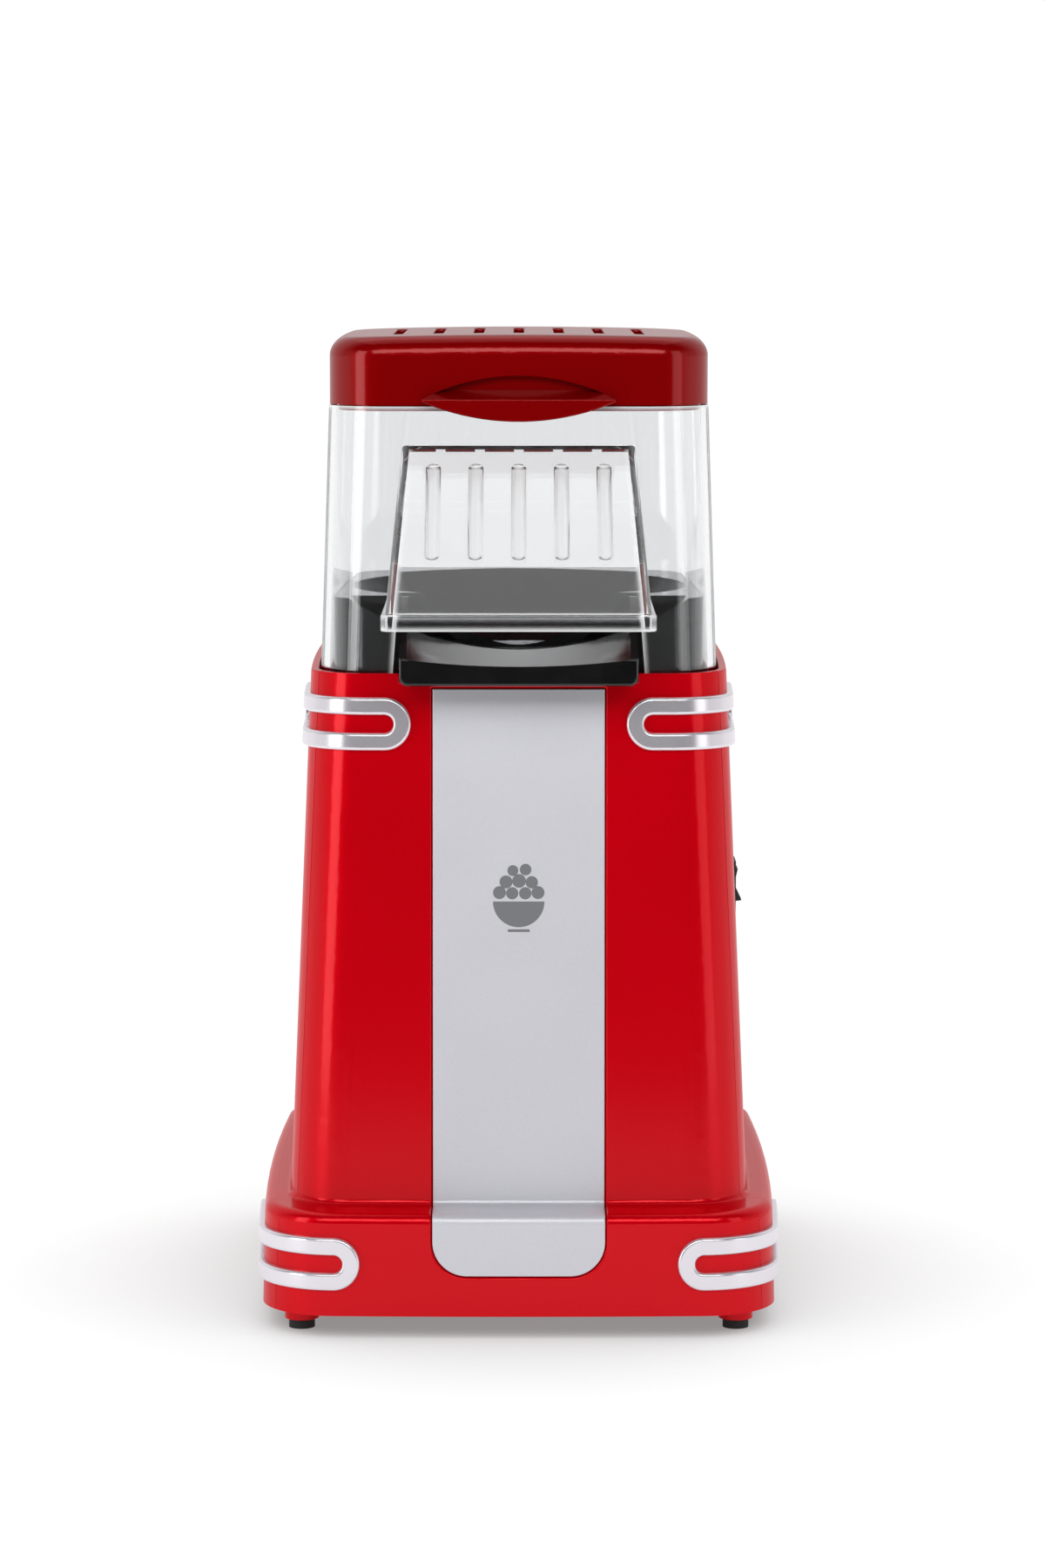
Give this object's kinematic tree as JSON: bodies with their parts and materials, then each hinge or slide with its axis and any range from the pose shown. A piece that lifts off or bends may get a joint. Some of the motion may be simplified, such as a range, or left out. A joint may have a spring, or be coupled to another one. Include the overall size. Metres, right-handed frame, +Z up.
{
  "type": "hot-air popcorn maker",
  "caption": "Hot-air popcorn maker: tapered tower on a low base, clear lift-off cover with chute hood, vented lid, pouring tray, fan and heater inside.",
  "frame": {"origin": "on the surface the feet stand on, under the middle of the whole object", "axes": "+Z up, -Y towards the chute at the front, +X to the right seen from the front, where the switch is"},
  "size_m": [0.156, 0.21, 0.2887],
  "materials": {
    "red_shell": "glossy metallic red lacquer",
    "silver_strip": "satin silver lacquer",
    "silver_trim": "satin silver lacquer",
    "clear_plastic": "clear polycarbonate",
    "black_gloss": "polished black",
    "rubber": "matte",
    "zinc_steel": "zinc plated",
    "aluminium": "spun, satin",
    "sheet_steel": "galvanised sheet",
    "mica": "pressed mica sheet",
    "nichrome": "oxidised resistance wire",
    "dark_plastic": "moulded, fine grain",
    "pale_plastic": "moulded, heat resistant",
    "ferrite": "sintered ferrite",
    "laminated_steel": "laminated stack",
    "copper": "copper segments",
    "carbon": "carbon brush",
    "bronze": "sintered bronze",
    "brass": "bright",
    "circuit_board": "glass-fibre board",
    "wire_sleeve": "silicone sleeve"
  },
  "bodies": {
    "housing": {"base_plate": "red_shell", "base_screws": "zinc_steel", "base_trim_left": "silver_trim", "base_trim_right": "silver_trim", "chute_funnel": "black_gloss", "cord_gland": "dark_plastic", "fan_housing": "dark_plastic", "fan_housing_screws": "zinc_steel", "foot_front_left": "rubber", "foot_front_right": "rubber", "foot_rear_left": "rubber", "foot_rear_right": "rubber", "front_housing": "red_shell", "front_strip": "silver_strip", "fuse_clip": "sheet_steel", "gland_nut": "dark_plastic", "heat_shield": "sheet_steel", "heater_board_cross": "mica", "heater_board_long": "mica", "heater_bracket": "sheet_steel", "heater_coil": "nichrome", "motor_brushes": "carbon", "motor_bushes": "bronze", "motor_can": "sheet_steel", "motor_end_cap": "dark_plastic", "motor_magnets": "ferrite", "motor_screws": "zinc_steel", "motor_terminals": "brass", "motor_wire": "wire_sleeve", "popping_chamber": "aluminium", "rear_housing": "red_shell", "rectifier_board": "circuit_board", "rectifier_diodes": "dark_plastic", "shield_screws": "zinc_steel", "switch_body": "dark_plastic", "switch_terminals": "brass", "switch_wire": "wire_sleeve", "terminal_block": "pale_plastic", "terminal_screws": "zinc_steel", "thermal_fuse": "pale_plastic", "thermostat": "dark_plastic", "thermostat_bracket": "sheet_steel", "thermostat_terminals": "brass", "thermostat_wire": "wire_sleeve", "upper_trim_left": "silver_trim", "upper_trim_right": "silver_trim"},
    "cover": {"clear_cover": "clear_plastic"},
    "lid": {"lid": "red_shell"},
    "rocker": {"switch_rocker": "dark_plastic"},
    "fan": {"fan_impeller": "pale_plastic", "fan_nut": "zinc_steel", "motor_shaft": "zinc_steel", "motor_armature": "laminated_steel", "motor_commutator": "copper"}
  },
  "joints": [
    {"name": "cover_lift", "type": "slide", "parent": "housing", "child": "cover", "axis": [0, 0, 1], "range_m": [0, 0.1]},
    {"name": "lid_lift", "type": "slide", "parent": "cover", "child": "lid", "axis": [0, 0, 1], "range_m": [0, 0.06]},
    {"name": "rocker_tilt", "type": "hinge", "parent": "housing", "child": "rocker", "pos_m": [0.0648, 0.013, 0.12], "axis": [0, 1, 0], "range_deg": [0, 14]},
    {"name": "fan_spin", "type": "hinge", "parent": "housing", "child": "fan", "pos_m": [0, 0.013, 0.072], "axis": [0, 0, 1], "continuous": true}
  ]
}
